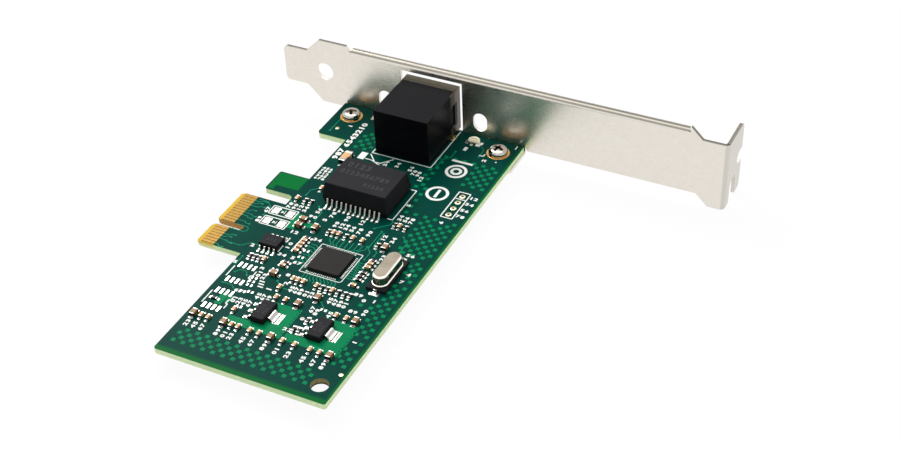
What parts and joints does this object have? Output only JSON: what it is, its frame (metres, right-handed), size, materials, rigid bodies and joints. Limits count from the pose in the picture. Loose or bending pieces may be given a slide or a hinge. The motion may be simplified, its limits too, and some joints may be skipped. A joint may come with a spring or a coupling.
{
  "type": "network interface card",
  "caption": "Expansion card with an edge connector, a modular network socket, status lamps and a full-height folded slot bracket.",
  "frame": {"origin": "middle of the key notch at the tip of the edge connector, half way through the board", "axes": "+X along the bracket towards its mounting flange, +Y along the board towards the bracket, +Z out of the component side of the board"},
  "size_m": [0.12, 0.1124, 0.022],
  "materials": {
    "board": "satin solder mask over glass-fibre laminate",
    "contact_gold": "thin hard gold plate",
    "tinned_copper": "tinned",
    "bracket_steel": "nickel-plated sheet, satin",
    "screw_steel": "nickel-plated",
    "black_moulding": "moulded, satin",
    "shield_metal": "tinned sheet",
    "solder": "bright solder",
    "lamp_moulding": "moulded",
    "lamp_lens": "clear resin",
    "package_black": "moulded epoxy",
    "crystal_can": "nickel-plated, satin",
    "chip_tan": "fired ceramic",
    "chip_dark": "glazed"
  },
  "bodies": {
    "root": {"circuit_board": "board", "edge_contacts": "contact_gold", "ground_lands": "contact_gold", "bare_pads": "tinned_copper", "bracket": "bracket_steel", "bracket_screws": "screw_steel", "socket_housing": "black_moulding", "socket_contact_block": "black_moulding", "socket_contacts": "contact_gold", "socket_shield": "shield_metal", "solder_joints": "solder", "left_lamp_base": "lamp_moulding", "right_lamp_base": "lamp_moulding", "left_lamp_lens": "lamp_lens", "right_lamp_lens": "lamp_lens", "transformer_body": "package_black", "transformer_leads": "tinned_copper", "controller_body": "package_black", "controller_lands": "tinned_copper", "memory_body": "package_black", "memory_leads": "tinned_copper", "crystal_base": "black_moulding", "crystal_can": "crystal_can", "crystal_terminals": "tinned_copper", "left_regulator_body": "package_black", "left_regulator_leads": "tinned_copper", "right_regulator_body": "package_black", "right_regulator_leads": "tinned_copper", "small_capacitor_bodies": "chip_tan", "small_capacitor_ends": "tinned_copper", "large_capacitor_bodies": "chip_tan", "large_capacitor_ends": "tinned_copper", "surge_capacitor_bodies": "chip_tan", "surge_capacitor_ends": "tinned_copper", "resistor_bodies": "chip_dark", "resistor_ends": "tinned_copper"}
  },
  "joints": []
}
